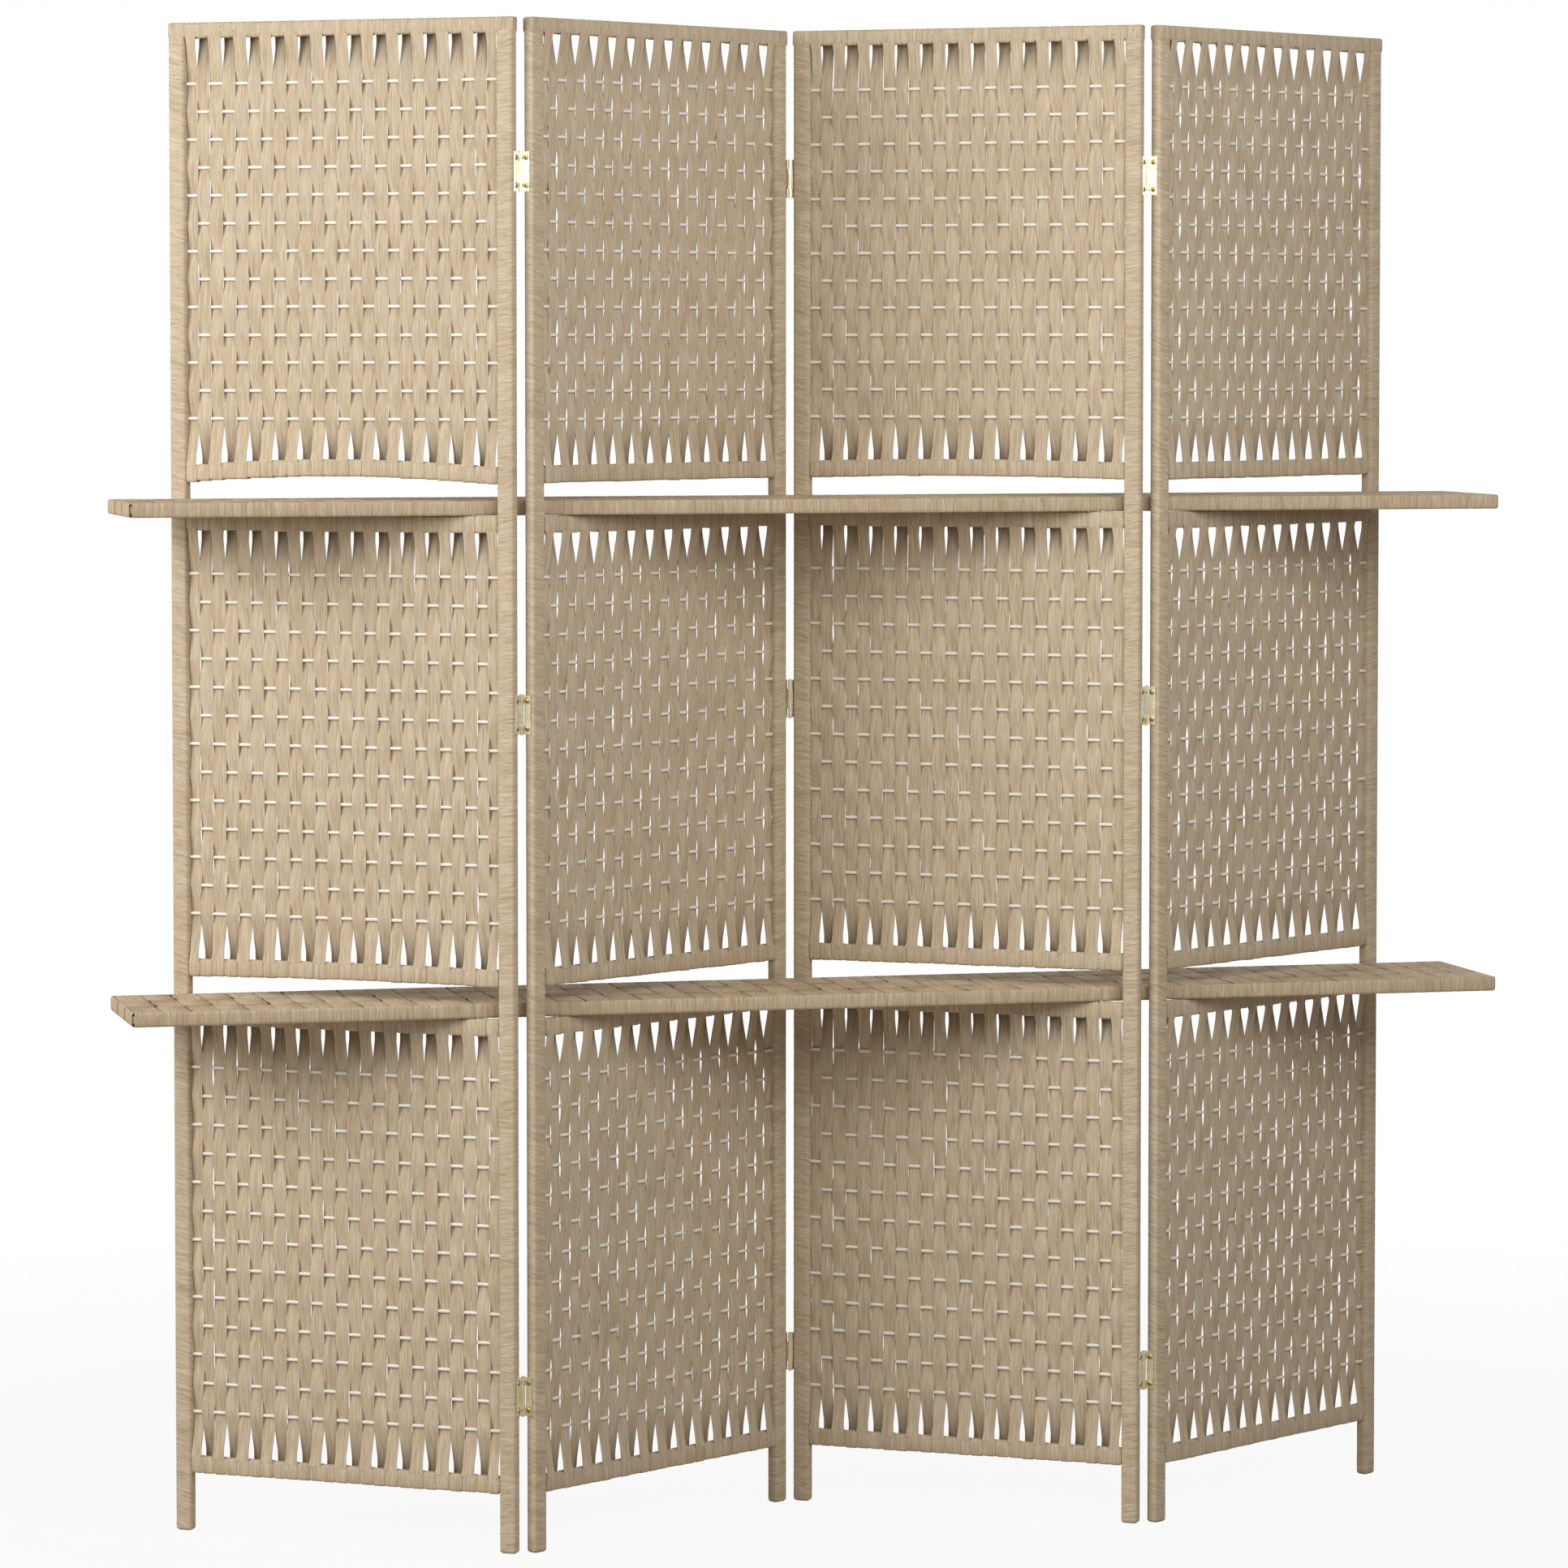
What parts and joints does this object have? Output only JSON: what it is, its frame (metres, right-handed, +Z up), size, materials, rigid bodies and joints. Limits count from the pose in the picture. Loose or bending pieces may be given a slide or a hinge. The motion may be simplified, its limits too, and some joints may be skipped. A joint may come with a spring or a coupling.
{
  "type": "folding room divider",
  "caption": "Zigzag folding screen of woven paper-fibre panels on wrapped wooden stiles, hinged in pairs, with long woven shelves threaded through slots in the panels.",
  "frame": {"origin": "on the floor under the middle of the screen, at the centre of the bounding box's base", "axes": "+X along the line of the zigzag from the viewer's left to right, +Y to the back, +Z up"},
  "size_m": [1.675, 0.2548, 1.8],
  "materials": {
    "wrapped_wood": "wrapped in matt paper-fibre cord",
    "paper_fibre": "matt flat-woven paper-fibre strips",
    "shelf_weave": "matt wide basket weave of paper-fibre bands",
    "brass": "bright plated"
  },
  "bodies": {
    "panel_2": {"panel_2_left_stile": "wrapped_wood", "panel_2_right_stile": "wrapped_wood", "panel_2_lower_weave": "paper_fibre", "panel_2_middle_weave": "paper_fibre", "panel_2_upper_weave": "paper_fibre", "left_fold_top_right_leaf": "brass", "left_fold_middle_right_leaf": "brass", "left_fold_bottom_right_leaf": "brass", "centre_fold_top_left_leaf": "brass", "centre_fold_middle_left_leaf": "brass", "centre_fold_bottom_left_leaf": "brass", "centre_fold_top_pin": "brass", "centre_fold_middle_pin": "brass", "centre_fold_bottom_pin": "brass"},
    "panel_1": {"panel_1_left_stile": "wrapped_wood", "panel_1_right_stile": "wrapped_wood", "panel_1_lower_weave": "paper_fibre", "panel_1_middle_weave": "paper_fibre", "panel_1_upper_weave": "paper_fibre", "left_fold_top_left_leaf": "brass", "left_fold_middle_left_leaf": "brass", "left_fold_bottom_left_leaf": "brass", "left_fold_top_pin": "brass", "left_fold_middle_pin": "brass", "left_fold_bottom_pin": "brass"},
    "panel_3": {"panel_3_left_stile": "wrapped_wood", "panel_3_right_stile": "wrapped_wood", "panel_3_lower_weave": "paper_fibre", "panel_3_middle_weave": "paper_fibre", "panel_3_upper_weave": "paper_fibre", "centre_fold_top_right_leaf": "brass", "centre_fold_middle_right_leaf": "brass", "centre_fold_bottom_right_leaf": "brass", "right_fold_top_left_leaf": "brass", "right_fold_middle_left_leaf": "brass", "right_fold_bottom_left_leaf": "brass", "right_fold_top_pin": "brass", "right_fold_middle_pin": "brass", "right_fold_bottom_pin": "brass"},
    "panel_4": {"panel_4_left_stile": "wrapped_wood", "panel_4_right_stile": "wrapped_wood", "panel_4_lower_weave": "paper_fibre", "panel_4_middle_weave": "paper_fibre", "panel_4_upper_weave": "paper_fibre", "right_fold_top_right_leaf": "brass", "right_fold_middle_right_leaf": "brass", "right_fold_bottom_right_leaf": "brass"},
    "lower_shelf": {"lower_shelf_front_batten": "wrapped_wood", "lower_shelf_back_batten": "wrapped_wood", "lower_shelf_left_batten": "wrapped_wood", "lower_shelf_right_batten": "wrapped_wood", "lower_shelf_deck": "shelf_weave"},
    "upper_shelf": {"upper_shelf_front_batten": "wrapped_wood", "upper_shelf_back_batten": "wrapped_wood", "upper_shelf_left_batten": "wrapped_wood", "upper_shelf_right_batten": "wrapped_wood", "upper_shelf_deck": "shelf_weave"}
  },
  "joints": [
    {"name": "centre_fold", "type": "hinge", "parent": "panel_2", "child": "panel_3", "pos_m": [0, 0.11677, 0], "axis": [0, 0, -1], "range_deg": [-3, 112]},
    {"name": "left_fold", "type": "hinge", "parent": "panel_2", "child": "panel_1", "pos_m": [-0.38157, -0.11677, 0], "axis": [0, 0, -1], "range_deg": [-3, 112]},
    {"name": "right_fold", "type": "hinge", "parent": "panel_3", "child": "panel_4", "pos_m": [0.38157, -0.11677, 0], "axis": [0, 0, 1], "range_deg": [-3, 112]},
    {"name": "lower_shelf_turn", "type": "hinge", "parent": "panel_2", "child": "lower_shelf", "pos_m": [-0.19079, 0, 0], "axis": [0, 0, -1], "range_deg": [-1.5, 56]},
    {"name": "upper_shelf_slide", "type": "slide", "parent": "lower_shelf", "child": "upper_shelf", "axis": [1, 0, 0], "range_m": [-0.7, 0.7]}
  ],
  "couplings": [
    {"joint": "left_fold", "follows": "centre_fold", "ratio": 1},
    {"joint": "right_fold", "follows": "centre_fold", "ratio": 1},
    {"joint": "lower_shelf_turn", "follows": "centre_fold", "ratio": 0.5}
  ]
}
